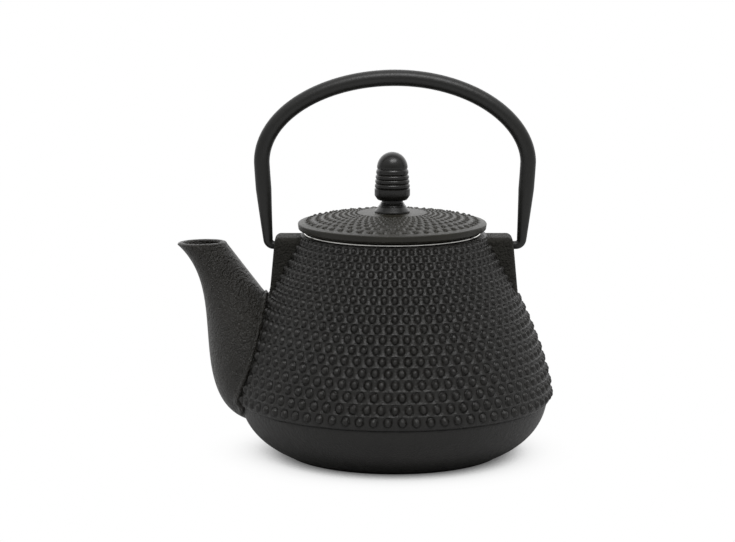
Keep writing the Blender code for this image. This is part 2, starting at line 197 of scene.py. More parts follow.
LID_DISC_RADIUS = 0.0176
LID_DISC_HEIGHT = 0.1304
LID_CROWN_RADIUS = 0.204
LID_THICKNESS = 0.0035
LID_COLLAR_OUTER_RADIUS = 0.0430
LID_COLLAR_INNER_RADIUS = 0.0406
LID_COLLAR_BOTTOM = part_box("lid")[0][2]
LID_COLLAR_EDGE = 0.0004
LID_SEAT = FLANGE_TOP + 0.0003
SCREW_HOLE_RADIUS = 0.0022
KNOB_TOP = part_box("knob_head")[1][2]
KNOB_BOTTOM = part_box("knob_head")[0][2]
KNOB_DOME_FOOT = (0.0082, 0.1546)
KNOB_GROOVES = ((0.0079, 0.1539), (0.0082, 0.1509), (0.0085, 0.1485), (0.0087, 0.1461), (0.0089, 0.1436))
KNOB_RIB_HEIGHT = 0.0006
KNOB_SKIRT = (              # from under the last groove down to the chamfered underside
    (0.0095, 0.1432), (0.0095, KNOB_BOTTOM + 0.0025), (0.0093, KNOB_BOTTOM + 0.0020),
    (0.0081, KNOB_BOTTOM + 0.0003), (0.0077, KNOB_BOTTOM),
)
KNOB_BORE_TOP = 0.150
PEDESTAL_NECK_RADIUS = 0.0057
PEDESTAL_FLARE = ((PEDESTAL_NECK_RADIUS, 0.1364), (0.0058, 0.1352), (0.0074, 0.1335))
PEDESTAL_FOOT_RADIUS = 0.0094
PEDESTAL_FOOT_HEIGHT = 0.0007
PEDESTAL_RINGS = (2, 4, 6)  # stretches of its flare that bulge
PEDESTAL_RING_HEIGHT = 0.0004
WASHER_RADIUS = 0.0065
WASHER_EDGE = 0.0003
SCREW_RADIUS = 0.0019
SCREW_HEAD_RADIUS = 0.0038
SCREW_HEAD_HEIGHT = 0.0025
SCREW_HEAD_SLOPE = 0.0006
SCREW_TIP_EDGE = 0.0004
SCREW_TIP = 0.0005          # plain end above the first thread
SCREW_RUNOUT = 0.0001
SCREW_THREADS = 28
SCREW_THREAD_DEPTH = 0.0003
RECESS_HALF_LENGTH = 0.0018
RECESS_HALF_WIDTH = 0.00035
RECESS_DEPTH = 0.0013
CUT_CLEARANCE = 0.001       # how far a cutter stands out of what it cuts

# Materials
EDGE_WEAR_AND_SHEEN = 0.35            # how far pointy edges and nail tops go to the lighter colour: partly wear, partly a painted highlight
RUBBED_AND_SHEEN_COLOR = 3.2          # that colour over the iron's own
COLOR_DRIFT = 0.20
WORN_AND_SHEEN_POINTINESS = (0.52, 0.62)
GRAZING_RANGE = (0.35, 0.85)            # Layer Weight values over which the gloss goes to its grazing level

# Camera and studio
CAMERA_AIM = Vector((-0.0141, 0.0, 0.0984))
CAMERA_DISTANCE = 1.4457
CAMERA_ELEVATION = math.radians(9.42)
CAMERA_LENS = 131.4
POT_MIDDLE = Vector((0.0, 0.0, 0.08))
KEY_ELEVATION = math.radians(60)
KEY_SIDE = 0.10
KEY_DISTANCE = 1.3
KEY_SIZE = (0.85, 0.34)
KEY_POWER = 7.3
SURROUND_FRONT_TO_BACK = ((0.0, 0.16), (0.30, 0.26), (0.64, 0.30), (1.0, 1.0))
SURROUND_STRENGTH = 1.42
SURROUND_LEVEL_TO_TOP = (0.0, 0.45)
SURROUND_TOP = 0.9
FLOOR_SIZE = 4.0
FLOOR_WHITE = 0.57
SHADOW_REACH = 0.04
SHADOW_STOPS = ((0.0, 0.03), (0.1, 0.16), (0.2, 0.42), (0.3, 0.73), (0.4, 0.89), (0.55, 0.975), (0.75, 1.0))


# ---------------------------------------------------------------- outlines

def bezier(points, t):
    """Point at t on the Bezier curve of any number of control points."""
    points = [Vector(point) for point in points]
    while len(points) > 1:
        points = [a.lerp(b, t) for a, b in zip(points, points[1:])]
    return points[0]


def bezier_run(points, steps):
    return [tuple(bezier(points, step / steps)) for step in range(steps + 1)]


def quarter_round(start, end, bulge_first, steps, share=1.0):
    """Elliptical quarter from start to end. With bulge_first the height changes before the radius.

    A share below 1 stops it before its end.
    """
    run = []
    for step in range(steps + 1):
        angle = math.pi / 2 * share * step / steps
        along, across = math.sin(angle), 1 - math.cos(angle)
        in_radius, in_height = (across, along) if bulge_first else (along, across)
        run.append((start[0] + (end[0] - start[0]) * in_radius, start[1] + (end[1] - start[1]) * in_height))
    return run


def shoulder_radius(height):
    share = max(0.0, height - WIDEST_HEIGHT) / (SHOULDER_HEIGHT - WIDEST_HEIGHT)
    return WIDEST_RADIUS - (WIDEST_RADIUS - SHOULDER_RADIUS) * share ** SHOULDER_POWER


def pot_radius(height):
    """Outer radius of the pot at a height, without its nails."""
    if height >= WIDEST_HEIGHT:
        return shoulder_radius(height)
    if height >= RIDGE_HEIGHT:
        share = (WIDEST_HEIGHT - height) / (WIDEST_HEIGHT - RIDGE_HEIGHT)
        return WIDEST_RADIUS - (WIDEST_RADIUS - RIDGE_RADIUS) * (1 - math.sqrt(1 - share ** 2))
    band = ((BAND_RADIUS, BAND_HEIGHT), BAND_PULL, (BASE_RADIUS, 0.0))
    low, high = 0.0, 1.0
    for halving in range(24):
        middle = (low + high) / 2
        if bezier(band, middle).y > height:
            low = middle
        else:
            high = middle
    return bezier(band, low).x


class Meridian:
    """Outline of (radius, height) points that nails are laid along.

    Its measure is length over radius, so that each row's height follows its radius.
    """

    def __init__(self, points, centre_x=0.0):
        self.points = points
        self.centre_x = centre_x
        self.turn = [0.0]
        for (r0, z0), (r1, z1) in zip(points, points[1:]):
            self.turn.append(self.turn[-1] + math.hypot(r1 - r0, z1 - z0) * 2 / (r0 + r1))

    def locate(self, share):
        """Radius, height and outward normal (radial, vertical) at a share of the way along."""
        wanted = min(max(share, 0.0), 1.0) * self.turn[-1]
        low, high = 0, len(self.turn) - 1
        while high - low > 1:
            middle = (low + high) // 2
            if self.turn[middle] <= wanted:
                low = middle
            else:
                high = middle
        (r0, z0), (r1, z1) = self.points[low], self.points[low + 1]
        part = (wanted - self.turn[low]) / (self.turn[low + 1] - self.turn[low])
        length = math.hypot(r1 - r0, z1 - z0)
        return r0 + (r1 - r0) * part, z0 + (z1 - z0) * part, -(z1 - z0) / length, (r1 - r0) / length

    def place(self, share, angle, lift=0.0):
        radius, height, out, up = self.locate(share)
        reach = radius + out * lift
        return Vector((self.centre_x + reach * math.cos(angle), reach * math.sin(angle), height + up * lift))


# ---------------------------------------------------------------- mesh making

def add_object(name, bm, material):
    """Turns a closed bmesh into a smooth-shaded object with its faces pointing out."""
    bmesh.ops.recalc_face_normals(bm, faces=bm.faces)
    mesh = bpy.data.meshes.new(name)
    bm.to_mesh(mesh)
    bm.free()
    mesh.shade_smooth()
    mesh.set_sharp_from_angle(angle=SHARP_ANGLE)
    piece = bpy.data.objects.new(name, mesh)
    bpy.context.scene.collection.objects.link(piece)
    if material:
        piece.data.materials.append(material)
    return piece


def join_rings(bm, ring, following):
    """Faces between two rings; a ring on the axis is one vertex repeated."""
    count = len(ring)
    for index in range(count):
        corners = [ring[index], ring[(index + 1) % count], following[(index + 1) % count], following[index]]
        corners = list(dict.fromkeys(corners))
        if len(corners) > 2:
            bm.faces.new(corners)


def join_run(bm, rings, closed=False):
    following = rings[1:] + rings[:1] if closed else rings[1:]
    for ring, other in zip(rings, following):
        join_rings(bm, ring, other)


def level_ring(bm, radius, height, segments, centre_x=0.0):
    """Ring of vertices round a vertical axis, or one vertex repeated when the radius is nothing."""
    if radius == 0.0:
        return [bm.verts.new((centre_x, 0.0, height))] * segments
    ring = []
    for index in range(segments):
        angle = 2 * math.pi * index / segments
        ring.append(bm.verts.new((centre_x + radius * math.cos(angle), radius * math.sin(angle), height)))
    return ring


def turned(name, outline, material, segments=96, centre_x=LID_CENTRE_X):
    """Solid of revolution about a vertical axis, from a closed outline of (radius, height) points."""
    bm = bmesh.new()
    rings = [level_ring(bm, radius, height, segments, centre_x) for radius, height in outline]
    join_run(bm, rings, closed=True)
    return add_object(name, bm, material)


def swept(name, places, radii, material, sides):
    """Round rod along places in the plane Y = 0, closed at both ends."""
    bm = bmesh.new()
    rings = []
    for index, place in enumerate(places):
        along = places[min(index + 1, len(places) - 1)] - places[max(index - 1, 0)]
        across = along.cross(Vector((0.0, 1.0, 0.0))).normalized()
        ring = []
        for step in range(sides):
            angle = 2 * math.pi * step / sides
            offset = across * math.cos(angle) + Vector((0.0, math.sin(angle), 0.0))
            ring.append(bm.verts.new(place + offset * radii[index]))
        rings.append(ring)
    join_run(bm, rings)
    for ring in (rings[0], rings[-1]):
        bm.faces.new(ring)
    return add_object(name, bm, material)


def carve(piece, cutter):
    """Cuts the cutter's solid out of the piece and removes the cutter."""
    modifier = piece.modifiers.new("carve", "BOOLEAN")
    modifier.operation = "DIFFERENCE"
    modifier.solver = "EXACT"
    modifier.object = cutter
    depsgraph = bpy.context.evaluated_depsgraph_get()
    carved = bpy.data.meshes.new_from_object(piece.evaluated_get(depsgraph))
    piece.modifiers.remove(modifier)
    piece.data = carved
    carved.shade_smooth()
    carved.set_sharp_from_angle(angle=SHARP_ANGLE)
    bpy.data.objects.remove(cutter, do_unlink=True)


def oval_bar(name, x_range, half_width, half_height, height):
    """Bar along X with an oval section."""
    sides = 48
    angles = [2 * math.pi * index / sides for index in range(sides)]
    section = [(half_width * math.cos(angle), height + half_height * math.sin(angle)) for angle in angles]
    bm = bmesh.new()
    rings = []
    for x in x_range:
        rings.append([bm.verts.new((x, *place)) for place in section])
    join_rings(bm, *rings)
    for ring in rings:
        bm.faces.new(ring)
    return add_object(name, bm, None)


def nail_field(bm, meridian, columns, rows, first_offset, nail_size, relief_range, rng):
    """Staggered rows of round nails. Returns the rings of vertices along the first and the last border."""
    step = 2 * math.pi / columns
    quarters = 4 * columns
    rows_length = meridian.turn[-1] / step
    lines = []
    for row in range(rows + 1):
        places = [meridian.place(row / rows, index * step / 4) for index in range(quarters)]
        lines.append([bm.verts.new(place) for place in places])
    for row in range(rows):
        offset = (row + first_offset) % 2
        share = (row + 0.5) / rows
        relief = relief_range[0] + (relief_range[1] - relief_range[0]) * share ** 2
        upper, lower = lines[row], lines[row + 1]
        sides = [bm.verts.new(meridian.place(share, (i + offset / 2 - 0.5) * step)) for i in range(columns)]
        for column in range(columns):
            centre = column + offset / 2
            quarter = 4 * column + 2 * offset
            border = [sides[(column + 1) % columns]]
            border += [lower[(quarter + shift) % quarters] for shift in (2, 1, 0, -1, -2)]
            border += [sides[column]]
            border += [upper[(quarter + shift) % quarters] for shift in (-2, -1, 0, 1, 2)]
            angle = centre * step
            add_nail(bm, meridian, angle, share, rows_length, step, nail_size, relief, border, rng)
    return lines[0], lines[-1]


def add_nail(bm, meridian, angle, share, rows_length, step, nail_size, relief, border, rng):
    """One round nail with the groove at its foot, joined to the border vertices of its cell.

    rows_length is the length of the whole field along its meridian, in steps.
    """
    pitch = meridian.locate(share)[0] * step * relief
    size = 1 + rng.gauss(0, NAIL_SIZE_SPREAD)
    rise = 1 + rng.gauss(0, NAIL_HEIGHT_SPREAD)
    top = bm.verts.new(meridian.place(share, angle, NAIL_PROFILE[0][1] * rise * pitch))
    inner = [top] * NAIL_SIDES
    for reach, lift in NAIL_PROFILE[1:]:
        ring = []
        for side in range(NAIL_SIDES):
            turn = 2 * math.pi * side / NAIL_SIDES
            away = reach * nail_size * (size if lift > 0 else 1)
            place_share = share + away * math.sin(turn) / rows_length
            across = away * math.cos(turn) * NAIL_NARROWNESS
            lifted = lift * rise * pitch if lift > 0 else lift * pitch
            ring.append(bm.verts.new(meridian.place(place_share, angle + across * step, lifted)))
        join_rings(bm, inner, ring)
        inner = ring
    join_rings(bm, inner, border)


# ---------------------------------------------------------------- materials

def new_material(name):
    material = bpy.data.materials.new(name)
    material.use_nodes = True
    nodes, links = material.node_tree.nodes, material.node_tree.links
    return material, nodes, links, nodes["Principled BSDF"]


def add_noise(nodes, links, coordinates, scale, detail, roughness=0.55):
    noise = nodes.new("ShaderNodeTexNoise")
    noise.inputs["Scale"].default_value = scale
    noise.inputs["Detail"].default_value = detail
    noise.inputs["Roughness"].default_value = roughness
    links.new(coordinates.outputs["Object"], noise.inputs["Vector"])
    return noise.outputs["Fac"]


def add_ramp(nodes, links, factor, stops):
    """Colour ramp from (position, colour) stops."""
    ramp = nodes.new("ShaderNodeValToRGB")
    while len(ramp.color_ramp.elements) < len(stops):
        ramp.color_ramp.elements.new(0.5)
    for element, (position, color) in zip(ramp.color_ramp.elements, stops):
        element.position = position
        element.color = (*color, 1.0)
    links.new(factor, ramp.inputs["Fac"])
    return ramp.outputs["Color"]


def add_range(nodes, links, factor, low, high, from_low=0.0, from_high=1.0):
    scaled = nodes.new("ShaderNodeMapRange")
    scaled.inputs["From Min"].default_value = from_low
    scaled.inputs["From Max"].default_value = from_high
    scaled.inputs["To Min"].default_value = low
    scaled.inputs["To Max"].default_value = high
    links.new(factor, scaled.inputs["Value"])
    return scaled.outputs["Result"]


def add_bump(nodes, links, height, distance, under=None):
    bump = nodes.new("ShaderNodeBump")
    bump.inputs["Strength"].default_value = 1.0
    bump.inputs["Distance"].default_value = distance
    links.new(height, bump.inputs["Height"])
    if under:
        links.new(under, bump.inputs["Normal"])
    return bump.outputs["Normal"]


def scaled_color(color, factor):
    return tuple(channel * factor for channel in color)


def iron_material(name, color, roughness, grain_size, grain_depth, specular=0.5, grazing_specular=None):
    """Black painted cast iron: sand grain, slow colour drift, and pointy edges and nail tops a little
    lighter, partly as wear and partly as a painted highlight.

    With a grazing_specular the gloss falls to that level where the surface is seen edge on.
    """
    material, nodes, links, shader = new_material(name)
    coordinates = nodes.new("ShaderNodeTexCoord")
    drift = add_noise(nodes, links, coordinates, 38.0, 3.0)
    grain = add_noise(nodes, links, coordinates, 1.0 / grain_size, 3.0, 0.5)
    swell = add_noise(nodes, links, coordinates, 0.3 / grain_size, 2.0)

    darker, lighter = scaled_color(color, 1 - COLOR_DRIFT), scaled_color(color, 1 + COLOR_DRIFT)
    base = add_ramp(nodes, links, drift, ((0.30, darker), (0.70, lighter)))
    # pointy edges and nail tops get a lighter base colour: partly wear, partly a painted highlight
    edges = nodes.new("ShaderNodeNewGeometry")
    rubbed_and_sheen = add_range(nodes, links, edges.outputs["Pointiness"], 0.0, EDGE_WEAR_AND_SHEEN, *WORN_AND_SHEEN_POINTINESS)
    mix = nodes.new("ShaderNodeMix")
    mix.data_type = "RGBA"
    mix.inputs["B"].default_value = (*scaled_color(color, RUBBED_AND_SHEEN_COLOR), 1.0)
    links.new(rubbed_and_sheen, mix.inputs["Factor"])
    links.new(base, mix.inputs["A"])
    links.new(mix.outputs["Result"], shader.inputs["Base Color"])

    links.new(add_range(nodes, links, grain, roughness - 0.08, roughness + 0.10), shader.inputs["Roughness"])
    slow = add_bump(nodes, links, swell, grain_depth * 0.8)
    links.new(add_bump(nodes, links, grain, grain_depth, under=slow), shader.inputs["Normal"])
    if grazing_specular is None:
        shader.inputs["Specular IOR Level"].default_value = specular
    else:
        facing = nodes.new("ShaderNodeLayerWeight")
        level = add_range(nodes, links, facing.outputs["Facing"], specular, grazing_specular, *GRAZING_RANGE)
        links.new(level, shader.inputs["Specular IOR Level"])
    return material


def enamel_material():
    """Dark vitreous enamel: smooth and glossy with a faint orange peel and pale specks."""
    material, nodes, links, shader = new_material("enamel_black")
    coordinates = nodes.new("ShaderNodeTexCoord")
    speck = add_noise(nodes, links, coordinates, 900.0, 2.0)
    peel = add_noise(nodes, links, coordinates, 220.0, 2.0)
    base = add_ramp(nodes, links, speck, ((0.66, (0.012, 0.012, 0.013)), (0.74, (0.06, 0.06, 0.062))))
    links.new(base, shader.inputs["Base Color"])
    links.new(add_range(nodes, links, peel, 0.10, 0.24), shader.inputs["Roughness"])
    links.new(add_bump(nodes, links, peel, 0.00012), shader.inputs["Normal"])
    return material


def steel_material(name, color, roughness):
    """Stainless steel, brushed round its axis, with small scratches."""
    material, nodes, links, shader = new_material(name)
    coordinates = nodes.new("ShaderNodeTexCoord")
    stretch = nodes.new("ShaderNodeMapping")
    stretch.inputs["Scale"].default_value = (60.0, 60.0, 5200.0)
    links.new(coordinates.outputs["Object"], stretch.inputs["Vector"])
    brush = nodes.new("ShaderNodeTexNoise")
    brush.inputs["Scale"].default_value = 1.0
    brush.inputs["Detail"].default_value = 4.0
    links.new(stretch.outputs["Vector"], brush.inputs["Vector"])
    stain = add_noise(nodes, links, coordinates, 90.0, 3.0)
    base = add_ramp(nodes, links, stain, ((0.35, scaled_color(color, 0.82)), (0.65, color)))
    links.new(base, shader.inputs["Base Color"])
    links.new(add_range(nodes, links, brush.outputs["Fac"], roughness - 0.07, roughness + 0.12),
              shader.inputs["Roughness"])
    links.new(add_bump(nodes, links, brush.outputs["Fac"], 0.00004), shader.inputs["Normal"])
    shader.inputs["Metallic"].default_value = 1.0
    return material


# ---------------------------------------------------------------- pieces

def pot_meridian():
    """The nailed part of the pot's outside, from the mouth to the ridge."""
    steps = 160
    top = MOUTH_HEIGHT - NAILS_BELOW_MOUTH
    heights = [top + (WIDEST_HEIGHT - top) * step / steps for step in range(steps + 1)]
    points = [(shoulder_radius(height), height) for height in heights]
    points += quarter_round((WIDEST_RADIUS, WIDEST_HEIGHT), (RIDGE_RADIUS, RIDGE_HEIGHT), True, 24, 0.62)[1:]
    return Meridian(points)


def pot_inside():
    """Inside of the pot from the bottom of its neck down to the middle of its floor."""
    steps = 16
    heights = [NECK_HEIGHT + (WIDEST_HEIGHT - NECK_HEIGHT) * step / steps for step in range(steps + 1)]
    points = [(shoulder_radius(height) - WALL, height) for height in heights]
    points += bezier_run((points[-1], FLOOR_PULL, (FLOOR_RADIUS, FLOOR)), 10)[1:]
    return points + [(FLOOR_RADIUS / 2, FLOOR), (0.0, FLOOR)]


def pot_below_nails():
    """Outside from the last row of nails over the ridge and the smooth band to the middle of the base."""
    foot_width, foot_height = FOOT_ROUND
    foot_start = (BASE_RADIUS, foot_height)
    band = bezier_run((BAND_TOP, BAND_PULL, foot_start), 22)
    foot = quarter_round(foot_start, (BASE_RADIUS - foot_width, 0.0), True, 3)[1:]
    groove = [(BASE_GROOVE_RADIUS + across, depth) for across, depth in BASE_GROOVE]
    return [*RIDGE_LIP, *band, *foot, *groove, (BASE_GROOVE_RADIUS / 3, 0.0), (0.0, 0.0)]


def make_pot(material):
    rng = random.Random(POT_SEED)
    bm = bmesh.new()
    meridian = pot_meridian()
    upper, lower = nail_field(bm, meridian, POT_COLUMNS, POT_ROWS, 0, POT_NAIL_SIZE, POT_RELIEF, rng)
    segments = len(upper)
    inside = [(MOUTH_OUTER_RADIUS, MOUTH_HEIGHT), (MOUTH_BORE_RADIUS + MOUTH_EDGE, MOUTH_HEIGHT)]
    inside += [(MOUTH_BORE_RADIUS, MOUTH_HEIGHT - MOUTH_EDGE), (MOUTH_BORE_RADIUS, NECK_HEIGHT)]
    inside += pot_inside()
    join_run(bm, [upper] + [level_ring(bm, radius, height, segments) for radius, height in inside])
    outside = pot_below_nails()
    join_run(bm, [lower] + [level_ring(bm, radius, height, segments) for radius, height in outside])
    pot = add_object("pot_casting", bm, material)
    outlet = oval_bar("outlet", (-WIDEST_RADIUS - WALL, -WIDEST_RADIUS + 4 * WALL), OUTLET_HALF_WIDTH,
                      OUTLET_HALF_HEIGHT, OUTLET_HEIGHT)
    carve(pot, outlet)
    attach(pot, "vessel")
    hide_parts("vessel_body")


def pot_cutter(depth):
    """Plain solid of the pot's outside, set in by depth, that trims what is cast onto the wall."""
    steps = 60
    heights = [MOUTH_HEIGHT * (1 - step / steps) for step in range(steps + 1)]
    wall = [(pot_radius(height) - depth, height) for height in heights]
    outline = [(0.0, MOUTH_HEIGHT), *wall, (0.0, 0.0)]
    return turned("pot_cutter", outline, None, 144, 0.0)


def spout_frame(t):
    """Centre and half span of the spout's section at t, in the plane Y = 0, and its half depth along Y."""
    low, high = bezier(SPOUT_LOWER_EDGE, t), bezier(SPOUT_UPPER_EDGE, t)
    fade = math.cos(math.pi / 2 * t) ** 2
    half_depth = SPOUT_MOUTH_HALF_DEPTH + (SPOUT_ROOT_HALF_DEPTH - SPOUT_MOUTH_HALF_DEPTH) * fade
    return (low + high) / 2, (high - low) / 2, half_depth


def spout_ring(bm, t, inset, rise=0.0, flared=False):
    """Ring of the spout's section at t, drawn in by inset and lifted by rise."""
    centre, half_span, half_depth = spout_frame(t)
    span_share = 1 - inset / half_span.length
    ring = []
    for index in range(SPOUT_SIDES):
        angle = 2 * math.pi * index / SPOUT_SIDES
        flat = centre + half_span * span_share * math.cos(angle)
        place = Vector((flat.x, (half_depth - inset) * math.sin(angle), flat.y + rise))
        if flared:
            place += flare(place, Vector((centre.x, 0.0, centre.y)))
        ring.append(bm.verts.new(place))
    return ring


def flare(place, centre):
    """Push away from the spout's middle that turns the root outwards just above the pot's wall."""
    above = max(math.hypot(place.x, place.y) - pot_radius(place.z), 0.0)
    if above >= FLARE_REACH or place.z < RIDGE_HEIGHT - FLARE_REACH:
        return Vector((0.0, 0.0, 0.0))
    push = FLARE_WIDTH * (1 - above / FLARE_REACH) ** 2
    push += BEAD_RADIUS * math.sqrt(max(1 - (above / BEAD_RADIUS - 1) ** 2, 0.0))
    away = place - centre
    away.x *= FLARE_ALONG_X
    return away.normalized() * push


def make_spout(material):
    bm = bmesh.new()
    stations = [step / SPOUT_STATIONS for step in range(SPOUT_STATIONS + 1)]
    rings = [spout_ring(bm, t, 0.0, flared=True) for t in stations]
    lip_steps = 8
    for step in range(1, lip_steps):
        angle = math.pi * step / lip_steps
        inset = SPOUT_LIP_WALL / 2 * (1 - math.cos(angle))
        rings.append(spout_ring(bm, 1.0, inset, SPOUT_LIP_WALL * LIP_RISE * math.sin(angle)))
    for t in reversed(stations):
        rings.append(spout_ring(bm, t, SPOUT_ROOT_WALL + (SPOUT_LIP_WALL - SPOUT_ROOT_WALL) * t))
    join_run(bm, rings, closed=True)
    spout = add_object("spout_casting", bm, material)
    carve(spout, pot_cutter(SPOUT_SINK))
    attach(spout, "vessel")
    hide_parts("spout")


def make_lug(name, node, side, material):
    """Rounded block on the shoulder with the bore for one pin."""
    bm = bmesh.new()
    bmesh.ops.create_cube(bm, size=1.0)
    for vertex in bm.verts:
        height = LUG_TOP if vertex.co.z > 0 else LUG_BOTTOM
        reach = LUG_FACE_X + (LUG_TOP - height) * LUG_FACE_SLOPE if vertex.co.x > 0 else LUG_INNER_X
        vertex.co = (side * reach, math.copysign(LUG_HALF_WIDTH, vertex.co.y), height)
    bmesh.ops.recalc_face_normals(bm, faces=bm.faces)
    bmesh.ops.bevel(bm, geom=bm.edges[:], offset=LUG_EDGE_RADIUS, segments=8, profile=0.5, affect="EDGES")
    lug = add_object(name, bm, material)
    carve(lug, pot_cutter(LUG_SINK))
    radius = PIN_RADIUS + PIN_CLEARANCE
    bore_span = (side * LUG_BORE_DEPTH_X, side * ARCH_HALF_WIDTH)
    carve(lug, oval_bar("bore", bore_span, radius, radius, PIVOT_HEIGHT))
    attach(lug, "vessel")
    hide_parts(node)


def bail_half(fullness):
    """(x, height, rod radius) from the top of the arch down one side to the end of its pin."""
    arch_steps, leg_steps, elbow_steps = 48, 20, 10
    leg_foot = PIVOT_HEIGHT + ELBOW_RADIUS
    stations = []
    for step in range(arch_steps + 1):
        angle = math.pi / 2 * step / arch_steps
        radius = ROD_TOP_RADIUS + (ROD_SIDE_RADIUS - ROD_TOP_RADIUS) * step / arch_steps
        height = ARCH_HEIGHT + ARCH_RISE * max(math.cos(angle), 0.0) ** fullness
        stations.append((ARCH_HALF_WIDTH * math.sin(angle), height, radius))
    for step in range(1, leg_steps + 1):
        share = step / leg_steps
        height = ARCH_HEIGHT + (leg_foot - ARCH_HEIGHT) * share
        narrow = min(max((TAPER_TOP_HEIGHT - height) / (TAPER_TOP_HEIGHT - leg_foot), 0.0), 1.0)
        radius = ROD_SIDE_RADIUS + (LEG_FOOT_RADIUS - ROD_SIDE_RADIUS) * narrow
        x = ARCH_HALF_WIDTH + (LEG_FOOT_X - ARCH_HALF_WIDTH) * share ** LEG_EASE
        stations.append((x, height, radius))
    for step in range(1, elbow_steps + 1):
        angle = math.pi / 2 * step / elbow_steps
        x = LEG_FOOT_X - ELBOW_RADIUS * (1 - math.cos(angle))
        radius = LEG_FOOT_RADIUS + (PIN_RADIUS - LEG_FOOT_RADIUS) * step / elbow_steps
        stations.append((x, leg_foot - ELBOW_RADIUS * math.sin(angle), radius))
    stations.append((PIN_END_X + PIN_CHAMFER, PIVOT_HEIGHT, PIN_RADIUS))
    stations.append((PIN_END_X, PIVOT_HEIGHT, PIN_RADIUS - PIN_CHAMFER))
    return stations


def make_bail(material):
    left = [(-x, height, radius) for x, height, radius in bail_half(LEFT_FULLNESS)]
    stations = left[:0:-1] + bail_half(RIGHT_FULLNESS)
    places = [Vector((x + BAIL_PLAY, 0.0, height)) for x, height, radius in stations]
    bail = swept("bail_rod", places, [station[2] for station in stations], material, 40)
    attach(bail, "handle")
    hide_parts("bail_handle")


def crown_height(radius):
    """Height of the lid's domed top at a radius."""
    return LID_DISC_HEIGHT - (radius ** 2 - LID_DISC_RADIUS ** 2) / (2 * LID_CROWN_RADIUS)


def crown_run(first, last, drop, steps):
    """Outline along the lid's dome from one radius to another, lowered by drop."""
    radii = [first + (last - first) * step / steps for step in range(steps + 1)]
    return [(radius, crown_height(radius) - drop) for radius in radii]


def lid_below_nails():
    """From the outermost nails over the rounded rim, under the lid and back up to the screw hole."""
    outline = crown_run(LID_FIELD_RADIUS + LID_FIELD_MARGIN, LID_SHOULDER_RADIUS, 0.0, 3)
    rim_top = outline[-1][1] - LID_RIM_ROUND
    outline += quarter_round(outline[-1], (LID_RADIUS, rim_top), False, 5)[1:]
    rim_bottom = LID_SEAT + LID_RIM_LIFT
    side_end = (LID_RADIUS - LID_RIM_TAPER, rim_top - LID_RIM_SIDE)
    outline += quarter_round(side_end, (LID_RADIUS - LID_RIM_UNDERCUT, rim_bottom), True, 8)
    outline += [(FLANGE_RADIUS, rim_bottom), (FLANGE_RADIUS - LID_SEAT_STEP, LID_SEAT)]
    outline += [
        (LID_COLLAR_OUTER_RADIUS, LID_SEAT),
        (LID_COLLAR_OUTER_RADIUS, LID_COLLAR_BOTTOM + LID_COLLAR_EDGE),
        (LID_COLLAR_OUTER_RADIUS - LID_COLLAR_EDGE, LID_COLLAR_BOTTOM),
        (LID_COLLAR_INNER_RADIUS + LID_COLLAR_EDGE, LID_COLLAR_BOTTOM),
        (LID_COLLAR_INNER_RADIUS, LID_COLLAR_BOTTOM + LID_COLLAR_EDGE),
    ]
    outline += crown_run(LID_COLLAR_INNER_RADIUS, LID_DISC_RADIUS, LID_THICKNESS, 8)
    return outline + [(SCREW_HOLE_RADIUS, LID_DISC_HEIGHT - LID_THICKNESS)]


def make_lid(material):
    rng = random.Random(LID_SEED)
    bm = bmesh.new()
    nailed = crown_run(LID_DISC_RADIUS + LID_DISC_MARGIN, LID_FIELD_RADIUS, 0.0, 80)
    meridian = Meridian(nailed, LID_CENTRE_X)
    inner, outer = nail_field(bm, meridian, LID_COLUMNS, LID_ROWS, 1, LID_NAIL_SIZE, LID_RELIEF, rng)
    segments = len(inner)
    hub = [(SCREW_HOLE_RADIUS, LID_DISC_HEIGHT), (LID_DISC_RADIUS, LID_DISC_HEIGHT)]
    hub_rings, rim_rings = (
        [level_ring(bm, radius, height, segments, LID_CENTRE_X) for radius, height in outline]
        for outline in (hub, lid_below_nails())
    )
    join_run(bm, hub_rings + [inner])
    join_run(bm, [outer] + rim_rings + [hub_rings[0]])
    lid = add_object("lid_casting", bm, material)
    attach(lid, "lid")
    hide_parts("lid")


def bulge(start, end, height, steps=8):
    """Rounded rib between two points of an outline, standing out by height."""
    run = []
    for step in range(steps + 1):
        share = step / steps
        radius = start[0] + (end[0] - start[0]) * share + height * math.sin(math.pi * share) ** 0.6
        run.append((radius, start[1] + (end[1] - start[1]) * share))
    return run


def make_knob_head(material):
    """Knob with a domed top, ribs and a plain skirt, bored for the screw."""
    head = quarter_round((0.0, KNOB_TOP), KNOB_DOME_FOOT, False, 16)
    for upper, lower in zip(KNOB_GROOVES, KNOB_GROOVES[1:]):
        head += bulge(upper, lower, KNOB_RIB_HEIGHT)
    head += KNOB_SKIRT
    head += [(SCREW_HOLE_RADIUS, KNOB_BOTTOM), (SCREW_HOLE_RADIUS, KNOB_BORE_TOP), (0.0, KNOB_BORE_TOP)]
    knob = turned("knob_turning", head, material)
    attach(knob, "lid")
    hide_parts("knob_head")


def make_pedestal(material):
    """Flared collar under the knob, with small rings turned into its flare."""
    low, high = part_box("knob_collar")
    bottom, top = low[2], high[2]
    foot_top = (PEDESTAL_FOOT_RADIUS, bottom + PEDESTAL_FOOT_HEIGHT)
    collar = [(SCREW_HOLE_RADIUS, top), (PEDESTAL_NECK_RADIUS, top)]
    flared = bezier_run((*PEDESTAL_FLARE, foot_top), 12)
    for index, (upper, lower) in enumerate(zip(flared, flared[1:])):
        height = PEDESTAL_RING_HEIGHT if index in PEDESTAL_RINGS else 0.0
        collar += bulge(upper, lower, height, 4)[:-1]
    collar += [foot_top, (PEDESTAL_FOOT_RADIUS, bottom), (SCREW_HOLE_RADIUS, bottom)]
    pedestal = turned("knob_pedestal", collar, material)
    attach(pedestal, "lid")
    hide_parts("knob_collar")


